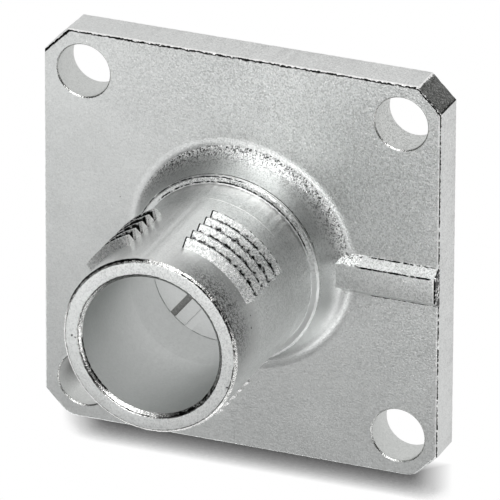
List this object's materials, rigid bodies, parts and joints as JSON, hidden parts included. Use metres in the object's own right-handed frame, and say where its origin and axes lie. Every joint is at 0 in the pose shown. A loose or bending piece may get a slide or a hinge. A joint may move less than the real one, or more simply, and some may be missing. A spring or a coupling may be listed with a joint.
{
  "type": "circular sensor connector housing",
  "caption": "Bare metal shell of a flange-mount circular sensor connector: square flange with screw holes, flared foot, round barrel with interrupted outside thread and a keyed through bore.",
  "frame": {"origin": "centre of the flange's flat back face, on the bore's axis", "axes": "+Z along the barrel towards the mating face, +X towards the radial rib, +Y towards the edge between the two sharply chamfered corners"},
  "size_m": [0.025, 0.025, 0.0165],
  "materials": {
    "nickel_plated_zinc": "die-cast zinc, blasted matt and nickel plated"
  },
  "bodies": {
    "root": {"flange_housing": "nickel_plated_zinc"}
  },
  "joints": []
}
